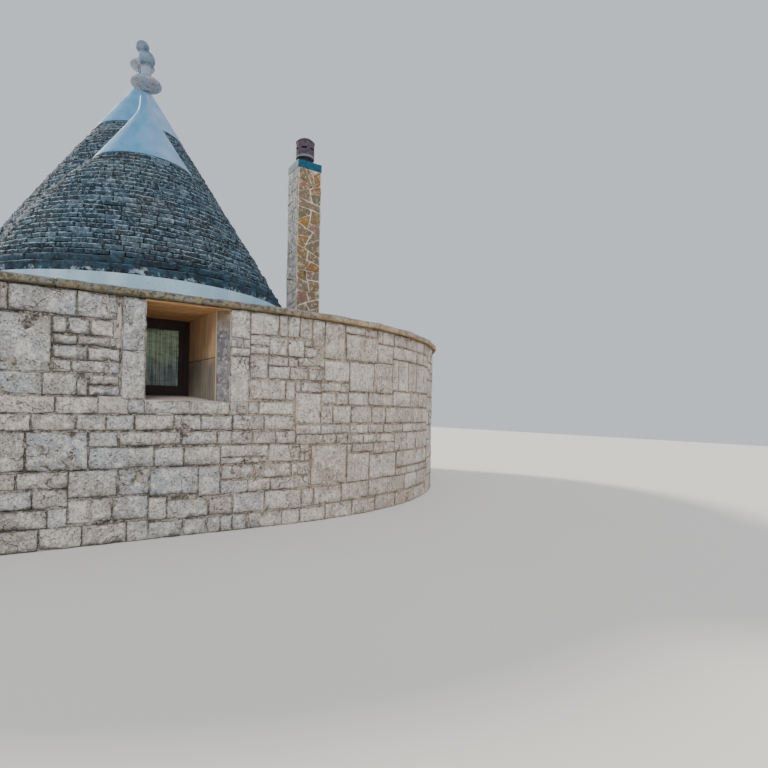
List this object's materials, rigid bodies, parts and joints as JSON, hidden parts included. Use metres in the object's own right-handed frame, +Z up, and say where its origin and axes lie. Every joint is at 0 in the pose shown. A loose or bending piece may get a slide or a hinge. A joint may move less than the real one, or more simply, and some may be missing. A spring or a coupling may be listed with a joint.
{
  "type": "trullo house",
  "caption": "Round-ended dry-stone house with joined lapped-stone cones, white caps and pinnacles, a deep window, a ledge and a clad chimney.",
  "frame": {"origin": "middle of the plan on the ground, under the floor slab", "axes": "+Z up, -Y out of the window wall, +X to the right as seen from outside the window"},
  "size_m": [12.24, 9.84, 9.062],
  "materials": {
    "floor_stone": "worn limestone slabs",
    "wall_stone": "rough coursed limestone, lichen specks",
    "ledge_stone": "weathered limestone with lichen",
    "roof_screed": "pale lime screed",
    "whitewash": "smooth limewash",
    "pinnacle_stone": "worn whitewashed stone",
    "dome_stone": "rough corbelled stone",
    "cone_stone": "dark weathered lapped limestone",
    "jamb_stone": "sawn tufa blocks",
    "sill_stone": "smooth limestone",
    "soffit_wood": "orange-brown boards",
    "dark_wood": "dark red-brown varnish",
    "glass": "clear",
    "curtain_cloth": "woven lace",
    "chimney_cladding": "crazy-paved ochre stone with cream joints",
    "chimney_slab": "blue-grey concrete",
    "cowl_clay": "dull brown clay"
  },
  "bodies": {
    "root": {"floor_slab": "floor_stone", "wall_front_left": "wall_stone", "wall_front_right": "wall_stone", "wall_below_window": "wall_stone", "wall_right_front": "wall_stone", "wall_right_end": "wall_stone", "wall_right_back": "wall_stone", "wall_left_front": "wall_stone", "wall_left_end": "wall_stone", "wall_left_back": "wall_stone", "wall_back_left": "wall_stone", "wall_back_right": "wall_stone", "wall_over_door": "wall_stone", "ledge_front": "ledge_stone", "ledge_back": "ledge_stone", "ledge_right": "ledge_stone", "ledge_left": "ledge_stone", "roof_right": "roof_screed", "roof_left": "roof_screed", "band_front": "whitewash", "band_rear": "whitewash", "dome_front": "dome_stone", "dome_rear": "dome_stone", "cone_front": "cone_stone", "cone_rear": "cone_stone", "cap_front": "whitewash", "cap_rear": "whitewash", "pinnacle_front": "pinnacle_stone", "pinnacle_rear": "pinnacle_stone", "jamb_left": "jamb_stone", "jamb_right": "jamb_stone", "window_sill": "sill_stone", "soffit_boards": "soffit_wood", "window_frame": "dark_wood", "window_sash": "dark_wood", "window_glass": "glass", "window_curtain": "curtain_cloth", "door_frame": "dark_wood", "door_leaf": "dark_wood", "door_step": "floor_stone", "chimney_shaft": "chimney_cladding", "chimney_slab": "chimney_slab", "cowl_pipe": "cowl_clay", "cowl_lid": "cowl_clay"}
  },
  "joints": []
}
